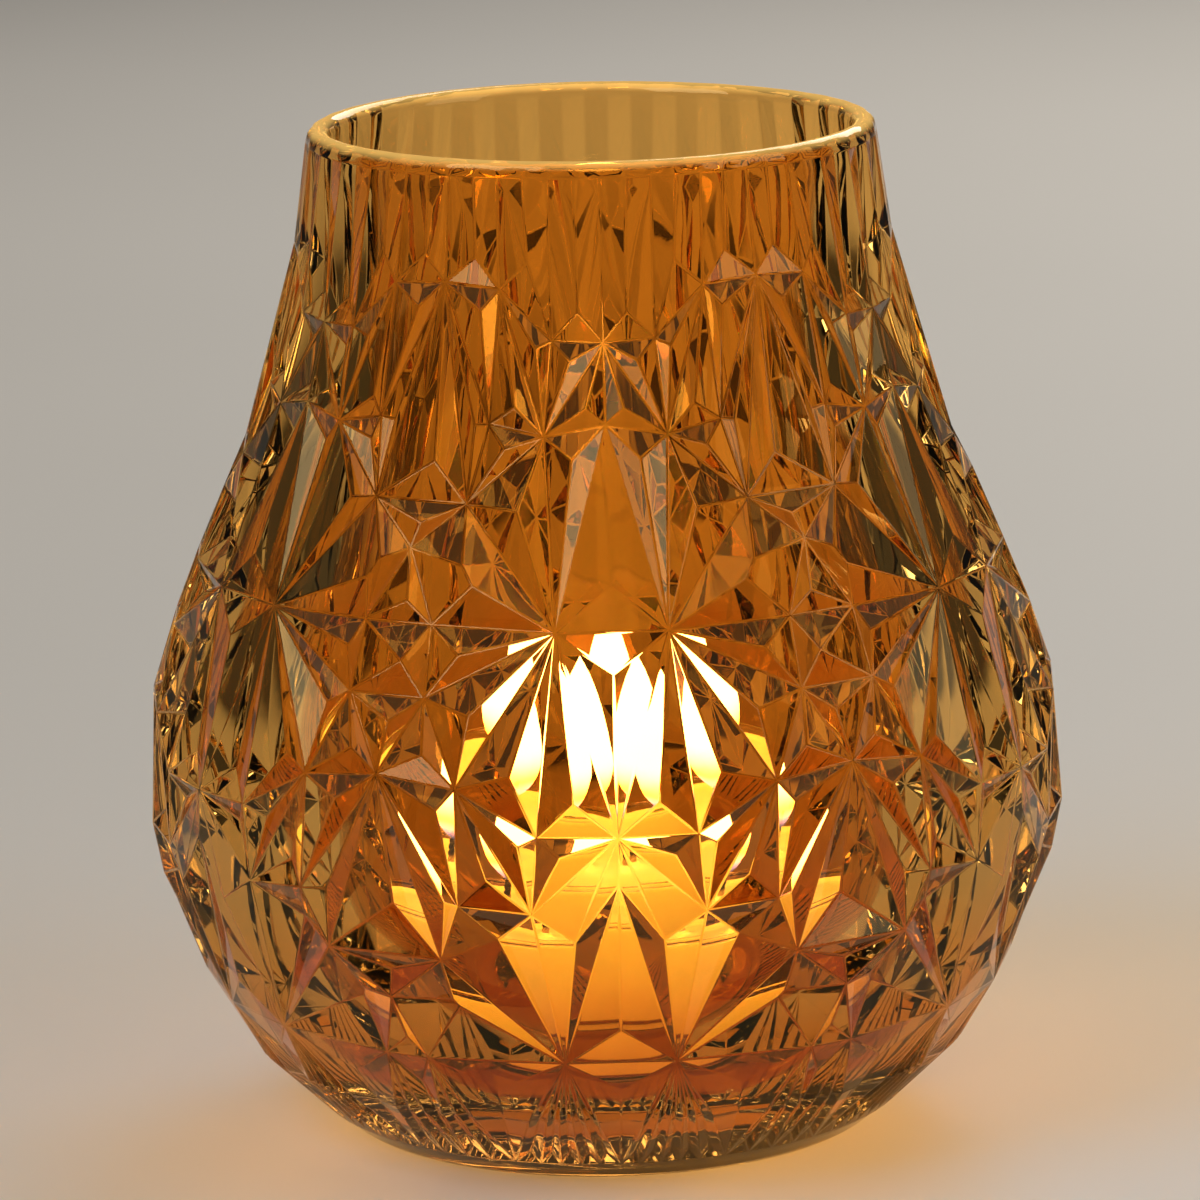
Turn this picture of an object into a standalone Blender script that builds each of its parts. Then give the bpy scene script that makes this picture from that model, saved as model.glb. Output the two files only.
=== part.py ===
"""Tealight holder: a bellied, star-cut pressed-glass vase with an eight-hour tealight on its floor.

Five solids, each one object: the glass vase, the clear cup of the tealight, its wax, the wick tab
and the wick. The vase stands on z = 0 with its axis on Z, and the front of the cut pattern faces -Y.

The outside of the glass is a net of straight ridges that meet at nodes on a smooth belly curve. Each
field between the ridges is a hollow whose faces all have the same slope, so its pit is the middle of
the field. The few fields on the front plane of each repeat are low pyramids instead.
Angles are in degrees, lengths in metres.
"""

import math

import bpy
from mathutils import Vector

MM = 0.001
SHARP_ANGLE = math.radians(12.0)  # edges that bend more than this stay crisp

# ---- glass vase ------------------------------------------------------------------------------
REPEATS = 6  # the cut pattern repeats every 60 degrees
HALF_REPEAT = 30.0  # and is mirrored about the middle of each repeat
HOLLOW = 0.46  # fall of a field's faces over their run
SHALLOW = 0.27  # the same beside the raised fields
RAISED = -0.2  # and in the raised fields, whose faces rise
PROUD = 0.6  # how far a raised field may stand over the belly curve, in mm
THINNEST = 2.3  # least glass left under a field, in mm
ONE_PIT = 0.0011  # a valley shorter than this is drawn as one point
RING_SIDES = 72

# Radius of the ridges at each height.
ENVELOPE = (
    (0.0, 38.5), (5.0, 44.9), (11.0, 50.8), (16.0, 54.6), (22.0, 58.1), (33.0, 62.6), (44.0, 65.4),
    (50.0, 66.0), (56.0, 65.7), (66.0, 63.5), (77.0, 59.7), (88.0, 55.0), (99.0, 50.2),
    (110.0, 46.1), (121.0, 43.25), (132.0, 41.3), (143.0, 39.9),
)
# Depth of the petals and flutes under the ridges.
VALLEY_DEPTH = ((0.0, 0.9), (12.0, 1.1), (22.0, 1.2), (119.0, 1.5), (127.0, 1.2), (140.9, 0.3))
# Inside wall, from the edge of the floor to the lip.
INSIDE = (
    (10.0, 33.5), (10.5, 36.6), (12.4, 40.4), (16.0, 44.6), (22.0, 48.9), (30.0, 52.9), (40.0, 56.0),
    (50.0, 57.2), (60.0, 56.6), (70.0, 54.2), (81.0, 50.6), (93.0, 46.2), (105.0, 42.2),
    (117.0, 39.2), (129.0, 37.5), (141.2, 36.75),
)
LIP = ((141.9, 39.95), (142.7, 39.5), (143.0, 38.5), (142.7, 37.4), (142.2, 36.9))
FOOT = ((1.5, 29.8), (0.0, 31.0), (0.0, 38.5), (0.6, 39.3), (1.7, 40.35))

# Nodes of half a repeat: (angle from its mirror plane, height in mm).
NODES = {
    # shoulder of the foot, where the petals start
    "petal_middle": (7.5, 22.3), "petal_side": (26.8, 22.0),
    # lower half of the belly
    "low_star": (30.0, 31.3), "low_side": (22.1, 37.8), "low_inner": (10.35, 45.2),
    "low_outer": (19.2, 46.0),
    # widest part
    "notch": (0.0, 49.3), "middle": (0.0, 55.8), "middle_inner": (9.5, 55.9), "middle_outer": (19.6, 61.9),
    "middle_star": (30.0, 63.1),
    # upper half of the belly
    "high_side": (24.6, 73.3), "high_star": (7.6, 82.1), "high_band": (24.9, 82.6),
    "shoulder_star": (30.0, 92.0), "shoulder_side": (22.0, 98.0),
    # neck
    "neck_middle": (0.0, 108.3), "neck_inner": (10.2, 106.8), "neck_outer": (19.6, 108.3),
    "flute_0": (0.0, 119.0), "flute_1": (9.2, 119.3), "flute_2": (19.0, 126.0), "flute_3": (30.0, 126.6),
    "lip_0": (0.0, 140.9), "lip_1": (10.0, 140.9), "lip_2": (20.0, 140.9), "lip_3": (30.0, 140.9),
}
# Fields between the ridges. "<" is a node mirrored about 0 degrees, ">" one mirrored about 30.
FIELDS = (
    "petal_middle petal_side low_star low_side", "petal_side >petal_side low_star",
    "low_star >low_side low_side", "petal_middle low_side low_outer low_inner",
    "low_side middle_star low_outer", "low_side >low_side middle_star",
    "<petal_middle petal_middle notch", "petal_middle low_inner middle notch",
    "middle low_inner middle_inner", "middle_inner low_inner middle_outer",
    "low_inner low_outer middle_outer", "low_outer middle_star middle_outer",
    "<high_star middle high_star", "middle middle_inner high_star",
    "middle_inner middle_outer high_star", "middle_outer high_side high_star",
    "middle_outer middle_star high_side", "middle_star >high_side high_side",
    "high_side >high_side >high_band high_band", "high_star high_side high_band",
    "high_band >high_band shoulder_star", "high_star high_band shoulder_star shoulder_side",
    "high_star shoulder_side neck_inner", "high_star neck_inner neck_middle",
    "<high_star high_star neck_middle", "shoulder_side shoulder_star >shoulder_side",
    "shoulder_side >shoulder_side flute_3", "shoulder_side flute_3 neck_outer",
    "neck_inner shoulder_side neck_outer", "neck_inner neck_outer flute_2",
    "neck_outer flute_3 flute_2", "neck_inner flute_2 flute_1", "neck_inner flute_1 flute_0",
    "neck_inner flute_0 neck_middle",
)
RAISED_FIELDS = (
    "<petal_middle petal_middle notch", "<high_star middle high_star", "<high_star high_star neck_middle",
)
SHALLOW_FIELDS = ("middle middle_inner high_star",)
# The field under the middle star rises to a peak off its middle: its angle, its height, and how far
# it stands over the belly curve in mm.
STAR_FIELD = "petal_middle low_inner middle notch"
STAR_PEAK = (5.2, 41.6, 1.0)
# Flutes that run up to the lip, each between the nodes at its foot and those at its top.
FLUTES = (
    "flute_0 flute_1 lip_1 lip_0", "flute_1 flute_2 lip_2 lip_1", "flute_2 flute_3 lip_3 lip_2",
)
FLUTE_POINT = 3.4  # how far over its higher foot node a flute reaches its full depth, in mm
# Hollow petals that fan out over the foot: the node or nodes each one hangs from, and the angles
# where the ridges beside it end. A petal that hangs from two nodes closes to a point at the foot.
PETALS = (
    ("<petal_middle petal_middle", 0.0, 0.0), ("petal_middle petal_middle", 0.0, 3.75),
    ("petal_middle petal_middle", 3.75, 7.5), ("petal_middle petal_middle", 7.5, 11.25),
    ("petal_middle petal_middle", 11.25, 15.0), ("petal_middle petal_middle", 15.0, 20.0),
    ("petal_middle petal_side", 20.0, 20.0), ("petal_side petal_side", 20.0, 25.0),
    ("petal_side petal_side", 25.0, 30.0), ("petal_side >petal_side", 30.0, 30.0),
)
PETAL_HEAD, PETAL_KNEE, PETAL_TOE, PETAL_FOOT = 17.3, 12.0, 5.4, 3.0  # heights in mm, downwards

# ---- tealight --------------------------------------------------------------------------------
# Heights and radii in mm. The cup stands 0.3 mm over the floor of the glass, and every piece in it
# keeps the same gap from its neighbours.
CUP_SIDES, TAB_SIDES, WICK_SIDES = 64, 32, 12
CUP = (
    (10.9, 14.6), (10.3, 15.6), (10.3, 18.3), (11.0, 18.95), (33.9, 19.4), (34.1, 19.75), (34.8, 19.75),
    (34.8, 18.95), (34.0, 18.8), (12.6, 18.3), (11.7, 17.4),
)
WAX_BODY = (
    (12.7, 7.3), (12.0, 7.3), (12.0, 16.9), (12.9, 17.85), (32.9, 18.4), (33.3, 18.1), (33.2, 17.3),
    (32.6, 16.2), (32.4, 6.0), (32.3, 1.2), (17.7, 1.2), (17.7, 2.2), (12.7, 2.2),
)
TAB = ((12.0, 1.2), (12.0, 7.0), (12.4, 7.0), (12.5, 2.4), (13.0, 1.9), (17.4, 1.8), (17.4, 1.2))
WICK = (  # height, lean to the side, radius
    (12.3, 0.0, 0.85), (33.0, 0.0, 0.85), (36.0, 0.25, 0.85), (38.5, 0.9, 0.8), (40.3, 1.7, 0.75),
    (41.4, 2.4, 0.55),
)

GLASS = ("pressed_glass", (0.93, 0.80, 0.55), 0.05, 0.0, 0.92)
PLASTIC = ("clear_cup", (0.95, 0.93, 0.88), 0.12, 0.0, 0.85)
WAX = ("paraffin_wax", (0.93, 0.86, 0.70), 0.45, 0.0, 0.0)
COTTON = ("charred_cotton", (0.06, 0.05, 0.045), 0.95, 0.0, 0.0)
STEEL = ("tinned_steel", (0.62, 0.62, 0.60), 0.35, 1.0, 0.0)


def between(points, at):
    """Smooth curve through (position, value) points, read at one position."""
    for first in range(len(points) - 1):
        if at <= points[first + 1][0] or first == len(points) - 2:
            break
    x0, y0 = points[first]
    x1, y1 = points[first + 1]

    def slope(index):
        before, after = max(index - 1, 0), min(index + 1, len(points) - 1)
        return (points[after][1] - points[before][1]) / (points[after][0] - points[before][0])

    t = min(max((at - x0) / (x1 - x0), 0.0), 1.0)
    step = x1 - x0
    return (
        (2 * t**3 - 3 * t**2 + 1) * y0 + (t**3 - 2 * t**2 + t) * step * slope(first)
        + (-2 * t**3 + 3 * t**2) * y1 + (t**3 - t**2) * step * slope(first + 1)
    )


def polar(angle, radius, height):
    """Point at an angle from the front (-Y), with radius and height in mm."""
    turn = math.radians(angle)
    return Vector((radius * math.sin(turn), -radius * math.cos(turn), height)) * MM


def node_point(angle, height):
    """Where ridges meet, on the belly curve."""
    return polar(angle, between(ENVELOPE, height), height)


def valley_point(angle, height):
    """Bottom of a petal or a flute."""
    return polar(angle, between(ENVELOPE, height) - between(VALLEY_DEPTH, height), height)


class Skin:
    """Vertices and faces of one closed mesh, with shared vertices found by place."""

    def __init__(self):
        self.points, self.faces, self.seen = [], [], {}

    def vertex(self, point):
        key = tuple(round(value / (0.01 * MM)) for value in point)
        if key not in self.seen:
            self.seen[key] = len(self.points)
            self.points.append(point)
        return self.seen[key]

    def face(self, *corners):
        """Adds a face and leaves out corners that fall on each other."""
        kept = [c for i, c in enumerate(corners) if c != corners[i - 1]]
        if len(kept) > 2:
            self.faces.append(kept)

    def ring(self, radius, height, sides=RING_SIDES):
        angles = [360.0 * i / sides for i in range(sides)]
        return [(angle, self.vertex(polar(angle, radius, height))) for angle in angles]

    def stitch(self, low, high):
        """Joins two rings of (angle, vertex), low to high seen from outside, with triangles."""
        low, high = (sorted(ring) + [(min(ring)[0] + 360.0, min(ring)[1])] for ring in (low, high))
        i = j = 0
        while i < len(low) - 1 or j < len(high) - 1:
            step_low = j == len(high) - 1 or (i < len(low) - 1 and low[i + 1][0] <= high[j + 1][0])
            if step_low:
                self.face(low[i][1], low[i + 1][1], high[j][1])
                i += 1
            else:
                self.face(low[i][1], high[j + 1][1], high[j][1])
                j += 1

    def cap(self, ring, facing_up):
        corners = [vertex for _, vertex in sorted(ring)]
        self.faces.append(corners if facing_up else corners[::-1])

    def object(self, name, finish):
        mesh = bpy.data.meshes.new(name)
        mesh.from_pydata([tuple(p) for p in self.points], [], self.faces)
        mesh.update()
        mesh.materials.append(material(*finish))
        mesh.shade_smooth()
        mesh.set_sharp_from_angle(angle=SHARP_ANGLE)
        made = bpy.data.objects.new(name, mesh)
        bpy.context.scene.collection.objects.link(made)
        return made


def material(name, colour, roughness, metallic, transmission):
    made = bpy.data.materials.new(name)
    made.use_nodes = True
    shader = made.node_tree.nodes["Principled BSDF"]
    shader.inputs["Base Color"].default_value = (*colour, 1.0)
    shader.inputs["Roughness"].default_value = roughness
    shader.inputs["Metallic"].default_value = metallic
    shader.inputs["Transmission Weight"].default_value = transmission
    made.diffuse_color = (*colour, 1.0)
    return made


def bisector_meet(corners, first):
    """Where the bisectors of two neighbouring corners of a flat outline meet, and how far in."""
    count = len(corners)
    a, b = corners[first], corners[(first + 1) % count]
    before, after = corners[first - 1], corners[(first + 2) % count]
    along = (b - a).normalized()
    turn_a = ((before - a).normalized() + along).normalized()
    turn_b = ((after - b).normalized() - along).normalized()
    inward = along.orthogonal()
    if inward.dot(after - b) < 0:
        inward = -inward
    # height over the side a-b at which the two bisectors cross
    run = turn_a.dot(along) / turn_a.dot(inward) - turn_b.dot(along) / turn_b.dot(inward)
    height = (b - a).length / run
    return a + turn_a * (height / turn_a.dot(inward)), height


def slope_of(field):
    """Fall of the faces of one field, which is below 0 where they rise."""
    if field in RAISED_FIELDS:
        return RAISED
    return SHALLOW if field in SHALLOW_FIELDS else HOLLOW


def cover(skin, corners, slope):
    """Covers one field with faces of equal slope that fall to a pit or a short valley."""
    middle = sum(corners, Vector()) / len(corners)
    normal = sum((a.cross(b) for a, b in zip(corners, corners[1:] + corners[:1])), Vector()).normalized()
    if normal.dot(Vector((middle.x, middle.y, 0.0))) < 0:
        corners, normal = corners[::-1], -normal
    across = (corners[1] - corners[0]).normalized()
    up = normal.cross(across)
    flat = [Vector(((c - middle).dot(across), (c - middle).dot(up))) for c in corners]
    meets = [bisector_meet(flat, i) for i in range(len(flat))]

    def pit(meet):
        place, inset = meet
        point = middle + across * place.x + up * place.y - normal * (inset * slope)
        least = (between(INSIDE, point.z / MM) + THINNEST) * MM
        most = (between(ENVELOPE, point.z / MM) + PROUD) * MM
        radius = math.hypot(point.x, point.y)
        scale = min(max(radius, least), most) / radius
        return Vector((point.x * scale, point.y * scale, point.z))

    edge = [skin.vertex(c) for c in corners]
    if len(corners) == 3:
        pits = [pit(meets[0])] * 2
        first = 0
    else:
        first = 0 if min(meets[0][1], meets[2][1]) <= min(meets[1][1], meets[3][1]) else 1
        pits = [pit(meets[first]), pit(meets[first + 2])]
        if (pits[0] - pits[1]).length < ONE_PIT:
            pits = [(pits[0] + pits[1]) / 2] * 2
    low, high = (skin.vertex(point) for point in pits)
    edge = edge[first:] + edge[:first]
    skin.face(edge[0], edge[1], low)
    skin.face(edge[1], edge[2], high, low)
    if len(edge) == 3:
        skin.face(edge[2], edge[0], low)
    else:
        skin.face(edge[2], edge[3], high)
        skin.face(edge[3], edge[0], low, high)


def cover_star(skin, corners, repeat, mirrored):
    """Covers the field under the middle star with faces that meet at its own peak."""
    angle, height, proud = STAR_PEAK
    peak = skin.vertex(polar(turned(angle, repeat, mirrored), between(ENVELOPE, height) + proud, height))
    edge = [skin.vertex(corner) for corner in (corners[::-1] if mirrored else corners)]
    for i, corner in enumerate(edge):
        skin.face(edge[i - 1], corner, peak)


def place(word, repeat, mirrored):
    """Angle and height of a node of one repeat, from its name."""
    angle, height = NODES[word.lstrip("<>")]
    if word[0] == "<":
        angle = -angle
    if word[0] == ">":
        angle = 2 * HALF_REPEAT - angle
    return turned(angle, repeat, mirrored), height


def turned(angle, repeat, mirrored):
    return repeat * 2 * HALF_REPEAT + (-angle if mirrored else angle)


def flute(skin, places):
    """One flute of the neck: a valley that starts at a point at its foot and runs out at the lip."""
    if places[0][0] > places[1][0]:
        places = [places[1], places[0], places[3], places[2]]
    left, right, high_right, high_left = (skin.vertex(node_point(*spot)) for spot in places)
    angles = [(places[low][0] + places[low + 1][0]) / 2 for low in (0, 2)]
    start = max(places[0][1], places[1][1]) + FLUTE_POINT
    foot = skin.vertex(valley_point(angles[0], start))
    top = skin.vertex(valley_point(angles[1], places[2][1]))
    skin.face(left, right, foot)
    skin.face(right, high_right, top, foot)
    skin.face(high_left, left, foot, top)
    return [(places[3][0], high_left), (angles[1], top), (places[2][0], high_right)]


def petal(skin, tips, ends):
    """One hollow petal between two ridges that bend with the foot of the belly on their way down."""

    def angle_at(side, height):
        tip_angle, tip_height = tips[side]
        share = (tip_height - height) / (tip_height - PETAL_FOOT)
        return tip_angle + (ends[side] - tip_angle) * share

    def hollow(height):
        return skin.vertex(valley_point((angle_at(0, height) + angle_at(1, height)) / 2, height))

    corners = [skin.vertex(node_point(*tip)) for tip in tips]
    knees = [skin.vertex(node_point(angle_at(side, PETAL_KNEE), PETAL_KNEE)) for side in (0, 1)]
    feet = [skin.vertex(node_point(end, PETAL_FOOT)) for end in ends]
    head = corners[0] if corners[0] == corners[1] else hollow(PETAL_HEAD)
    toe = feet[0] if feet[0] == feet[1] else hollow(PETAL_TOE)
    back = hollow(PETAL_KNEE)
    skin.face(corners[1], corners[0], head)
    skin.face(feet[0], feet[1], toe)
    skin.face(corners[0], knees[0], back, head)
    skin.face(knees[0], feet[0], toe, back)
    skin.face(knees[1], corners[1], head, back)
    skin.face(feet[1], knees[1], back, toe)
    return list(zip(ends, feet))


def revolve(skin, profile, sides, start=None):
    """Turns (height, radius) in mm into rings and joins them, outside up and then inside down."""
    for height, radius in profile:
        ring = skin.ring(radius, height, sides)
        if start is None:
            skin.cap(ring, facing_up=False)
        else:
            skin.stitch(start, ring)
        start = ring
    return start


def glass_vase():
    skin = Skin()
    done, foot, lip = set(), {}, {}
    for repeat in range(REPEATS):
        for mirrored in (False, True):
            for text in FIELDS:
                places = [place(word, repeat, mirrored) for word in text.split()]
                corners = [node_point(*spot) for spot in places]
                key = frozenset(skin.vertex(corner) for corner in corners)
                if key not in done:
                    done.add(key)
                    if text == STAR_FIELD:
                        cover_star(skin, corners, repeat, mirrored)
                    else:
                        cover(skin, corners, slope_of(text))
            for text in FLUTES:
                places = [place(word, repeat, mirrored) for word in text.split()]
                lip.update({round(angle, 3) % 360: at for angle, at in flute(skin, places)})
            for text, *ends in PETALS:
                tips = [place(word, repeat, mirrored) for word in text.split()]
                ends = [turned(end, repeat, mirrored) for end in ends]
                if mirrored:
                    tips, ends = tips[::-1], ends[::-1]
                key = tuple(round(angle, 3) % 360 for angle in (tips[0][0], tips[1][0], *ends))
                if key not in done:
                    done.add(key)
                    foot.update({round(end, 3) % 360: at for end, at in petal(skin, tips, ends)})
    skin.stitch(revolve(skin, FOOT, RING_SIDES), list(foot.items()))
    floor = revolve(skin, LIP + INSIDE[::-1], RING_SIDES, list(lip.items()))
    skin.cap(floor, facing_up=True)
    return skin


def turned_piece(profile, sides):
    """A closed solid of revolution whose profile starts and ends on the axis or at one hole."""
    skin = Skin()
    skin.cap(revolve(skin, profile, sides), facing_up=True)
    return skin


def pierced_piece(profile, sides):
    """A solid of revolution with a hole through it: the profile's last ring joins its first."""
    skin = Skin()
    rings = [skin.ring(radius, height, sides) for height, radius in profile]
    for low, high in zip(rings, rings[1:] + rings[:1]):
        skin.stitch(low, high)
    return skin


def wick():
    """Round cotton wick, straight in the wax and bent over where it has burned."""
    skin = Skin()
    rings = []
    for height, lean, radius in WICK:
        middle = Vector((lean, 0.3 * lean, height)) * MM
        angles = [360.0 * i / WICK_SIDES for i in range(WICK_SIDES)]
        rings.append([(a, skin.vertex(middle + polar(a, radius, 0.0))) for a in angles])
    skin.cap(rings[0], facing_up=False)
    for low, high in zip(rings, rings[1:]):
        skin.stitch(low, high)
    skin.cap(rings[-1], facing_up=True)
    return skin


for old in list(bpy.data.objects):
    bpy.data.objects.remove(old)

glass_vase().object("glass_vase", GLASS)
turned_piece(CUP, CUP_SIDES).object("tealight_cup", PLASTIC)
pierced_piece(WAX_BODY, CUP_SIDES).object("tealight_wax", WAX)
pierced_piece(TAB, TAB_SIDES).object("wick_tab", STEEL)
wick().object("wick", COTTON)
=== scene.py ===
"""Star-cut glass tealight holder with a lit tealight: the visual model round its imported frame.

Lengths are in millimetres until a point is made, and angles in degrees. The vase stands on z = 0
with its axis on Z, and the front of the cut pattern faces -Y.
"""

import logging
import math
from collections.abc import Callable, Sequence
from dataclasses import dataclass, field
from enum import Enum

import bpy
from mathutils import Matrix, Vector


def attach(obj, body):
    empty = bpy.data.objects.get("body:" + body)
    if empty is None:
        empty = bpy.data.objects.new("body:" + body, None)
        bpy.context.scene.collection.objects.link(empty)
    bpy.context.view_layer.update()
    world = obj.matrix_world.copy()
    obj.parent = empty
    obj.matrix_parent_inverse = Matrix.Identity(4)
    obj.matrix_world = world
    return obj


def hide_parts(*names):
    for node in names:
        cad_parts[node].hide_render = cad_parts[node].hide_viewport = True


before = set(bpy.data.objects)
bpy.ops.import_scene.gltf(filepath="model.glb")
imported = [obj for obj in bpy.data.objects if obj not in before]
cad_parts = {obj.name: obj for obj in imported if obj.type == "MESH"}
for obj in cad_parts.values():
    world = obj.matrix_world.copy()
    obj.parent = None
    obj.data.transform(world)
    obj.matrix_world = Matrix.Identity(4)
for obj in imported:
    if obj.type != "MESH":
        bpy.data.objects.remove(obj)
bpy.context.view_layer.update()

MM = 0.001
LOG = logging.getLogger("tealight_holder")

Curve = Sequence[tuple[float, float]]
Ring = list[tuple[float, int]]
Colour = tuple[float, float, float]
Place = tuple[float, float, float]
Node = bpy.types.Node
Socket = bpy.types.NodeSocket
Tree = bpy.types.NodeTree
BLACK: Colour = (0.0, 0.0, 0.0)
SAME_PLACE = 0.005  # mm within which two vertices are one


class Body(Enum):
    """The rigid bodies that pieces ride on."""

    VASE = "vase"
    TEALIGHT = "tealight"
    CANDLE = "candle"


class Mirror(Enum):
    """Which mirror plane of the cut pattern a node's name refers to."""

    START = "<"
    END = ">"


# ---- geometry ----------------------------------------------------------------------------------


def between(points: Curve, at: float) -> float:
    """Reads a smooth curve through points.

    Args:
        points: (position, value) pairs in rising position.
        at: the position to read.

    Returns:
        The value there.
    """
    first = 0
    while first < len(points) - 2 and at > points[first + 1][0]:
        first += 1
    (x0, y0), (x1, y1) = points[first], points[first + 1]

    def slope(index: int) -> float:
        """Slope of the curve at one of its points."""
        before, after = max(index - 1, 0), min(index + 1, len(points) - 1)
        return (points[after][1] - points[before][1]) / (points[after][0] - points[before][0])

    step = x1 - x0
    t = min(max((at - x0) / step, 0.0), 1.0)
    return (
        (2 * t**3 - 3 * t**2 + 1) * y0
        + (t**3 - 2 * t**2 + t) * step * slope(first)
        + (-2 * t**3 + 3 * t**2) * y1
        + (t**3 - t**2) * step * slope(first + 1)
    )


def polar(angle: float, radius: float, height: float) -> Vector:
    """Point at an angle from the front (-Y), in metres, from a radius and a height in mm."""
    turn = math.radians(angle)
    return Vector((radius * math.sin(turn), -radius * math.cos(turn), height)) * MM


def neighbours(items: Sequence) -> list[tuple]:
    """Pairs of each item with the next one round a loop."""
    return list(zip(items, [*items[1:], items[0]]))


def circle(radius: float, centre: Vector) -> Callable[[float], Vector]:
    """Places of a level ring with a radius in mm round a centre in metres."""
    return lambda angle: centre + polar(angle, radius, 0.0)


class Sketch:
    """Vertices and faces of one mesh, in which a vertex is found again by its place."""

    def __init__(self) -> None:
        """Starts an empty mesh."""
        self.points: list[Vector] = []
        self.faces: list[list[int]] = []
        self._seen: dict[tuple[int, ...], int] = {}

    def vertex(self, point: Vector) -> int:
        """Adds a point, or finds the one already there, and returns its number."""
        key = tuple(round(value / (SAME_PLACE * MM)) for value in point)
        if key not in self._seen:
            self._seen[key] = len(self.points)
            self.points.append(point)
        return self._seen[key]

    def face(self, *corners: int) -> None:
        """Adds a face, leaving out corners that fall on each other."""
        kept = [corner for i, corner in enumerate(corners) if corner != corners[i - 1]]
        if len(kept) > 2:
            self.faces.append(kept)

    def ring(self, sides: int, place: Callable[[float], Vector]) -> Ring:
        """Adds a ring of vertices.

        Args:
            sides: how many vertices it has.
            place: gives the point at an angle.

        Returns:
            (angle, vertex) pairs in rising angle.
        """
        angles = [360.0 * i / sides for i in range(sides)]
        return [(angle, self.vertex(place(angle))) for angle in angles]

    def stitch(self, low: Ring, high: Ring) -> None:
        """Joins two rings. Seen from outside, low is below high.

        Args:
            low: one ring.
            high: the next ring along the profile.
        """
        if [angle for angle, _ in low] == [angle for angle, _ in high]:
            for i in range(len(low)):
                after = (i + 1) % len(low)
                self.face(low[i][1], low[after][1], high[after][1], high[i][1])
            return
        low, high = (sorted(r) + [(min(r)[0] + 360.0, min(r)[1])] for r in (low, high))
        i = j = 0
        while i < len(low) - 1 or j < len(high) - 1:
            if j == len(high) - 1 or (i < len(low) - 1 and low[i + 1][0] <= high[j + 1][0]):
                self.face(low[i][1], low[i + 1][1], high[j][1])
                i += 1
            else:
                self.face(low[i][1], high[j + 1][1], high[j][1])
                j += 1

    def close(self, ring: Ring, height: float, up: bool) -> None:
        """Closes a ring with a fan to a point on the axis, facing up or down."""
        hub = self.vertex(Vector((0.0, 0.0, height * MM)))
        for i in range(len(ring)):
            near, far = ring[i][1], ring[(i + 1) % len(ring)][1]
            self.face(*((near, far, hub) if up else (far, near, hub)))

    def tube(self, rings: Sequence[Ring]) -> None:
        """Joins rings from the foot up and closes each end with one face."""
        for low, high in zip(rings, rings[1:]):
            self.stitch(low, high)
        self.faces.append([vertex for _, vertex in rings[0]][::-1])
        self.faces.append([vertex for _, vertex in rings[-1]])

    def piece(self, name: str, material: bpy.types.Material) -> bpy.types.Object:
        """Makes the object.

        Args:
            name: its name.
            material: what it is made of.

        Returns:
            The object, linked to the scene and shaded smooth.
        """
        mesh = bpy.data.meshes.new(name)
        mesh.from_pydata([tuple(point) for point in self.points], [], self.faces)
        mesh.update()
        mesh.shade_smooth()
        mesh.materials.append(material)
        made = bpy.data.objects.new(name, mesh)
        bpy.context.scene.collection.objects.link(made)
        return made


def turned(sketch: Sketch, profile: Curve, sides: int, start: Ring | None = None) -> Ring:
    """Turns a profile about the axis.

    Args:
        sketch: the mesh that it is added to.
        profile: (height, radius) pairs, up the outside and then down the inside.
        sides: vertices in each ring.
        start: a ring to join the first one to. Without it the first ring is closed from below.

    Returns:
        The last ring.
    """
    for height, radius in profile:
        ring = sketch.ring(sides, circle(radius, polar(0.0, 0.0, height)))
        if start is None:
            sketch.close(ring, height, up=False)
        else:
            sketch.stitch(start, ring)
        start = ring
    return start


# ---- shader graphs -----------------------------------------------------------------------------


def socket_name(label: str) -> str:
    """Name of a socket from the same name in snake case."""
    return label.replace("_", " ").title()


class Graph:
    """A node tree that is filled node by node."""

    def __init__(self, tree: Tree) -> None:
        """Keeps the tree to add to."""
        self.tree = tree

    def add(
        self, kind: str, inputs: dict[str | int, object] | None = None, **settings: object
    ) -> Node:
        """Adds a node.

        Args:
            kind: its bl_idname without the ShaderNode prefix.
            inputs: by socket, either another node's output or a plain value.
            settings: attributes of the node.

        Returns:
            The node.
        """
        node = self.tree.nodes.new(f"ShaderNode{kind}")
        for name, value in settings.items():
            setattr(node, name, value)
        for socket, value in (inputs or {}).items():
            if isinstance(value, Socket):
                self.tree.links.new(value, node.inputs[socket])
            else:
                node.inputs[socket].default_value = value
        return node

    def feed(self, node: Node, **outputs: Socket) -> None:
        """Links outputs to a node's inputs, which are named in snake case."""
        for label, output in outputs.items():
            self.tree.links.new(output, node.inputs[socket_name(label)])

    def place(self) -> Socket:
        """The piece's own coordinates."""
        return self.add("TexCoord").outputs["Object"]

    def noise(self, scale: Socket, detail: float) -> Socket:
        """Noise over the piece, at a scale per metre."""
        inputs = {"Vector": self.place(), "Scale": scale, "Detail": detail}
        return self.add("TexNoise", inputs).outputs["Fac"]

    def mix(self, share: object, first: object, second: object) -> Socket:
        """Colour that goes from first to second as share rises, each a socket or a colour."""
        values = [(*v, 1.0) if isinstance(v, tuple) and len(v) == 3 else v for v in (first, second)]
        node = self.add("Mix", {0: share, 6: values[0], 7: values[1]}, data_type="RGBA")
        return node.outputs[2]

    def math(self, operation: str, first: object, second: object = 0.0) -> Socket:
        """Result of one sum on values or sockets."""
        return self.add("Math", {0: first, 1: second}, operation=operation).outputs[0]


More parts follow.
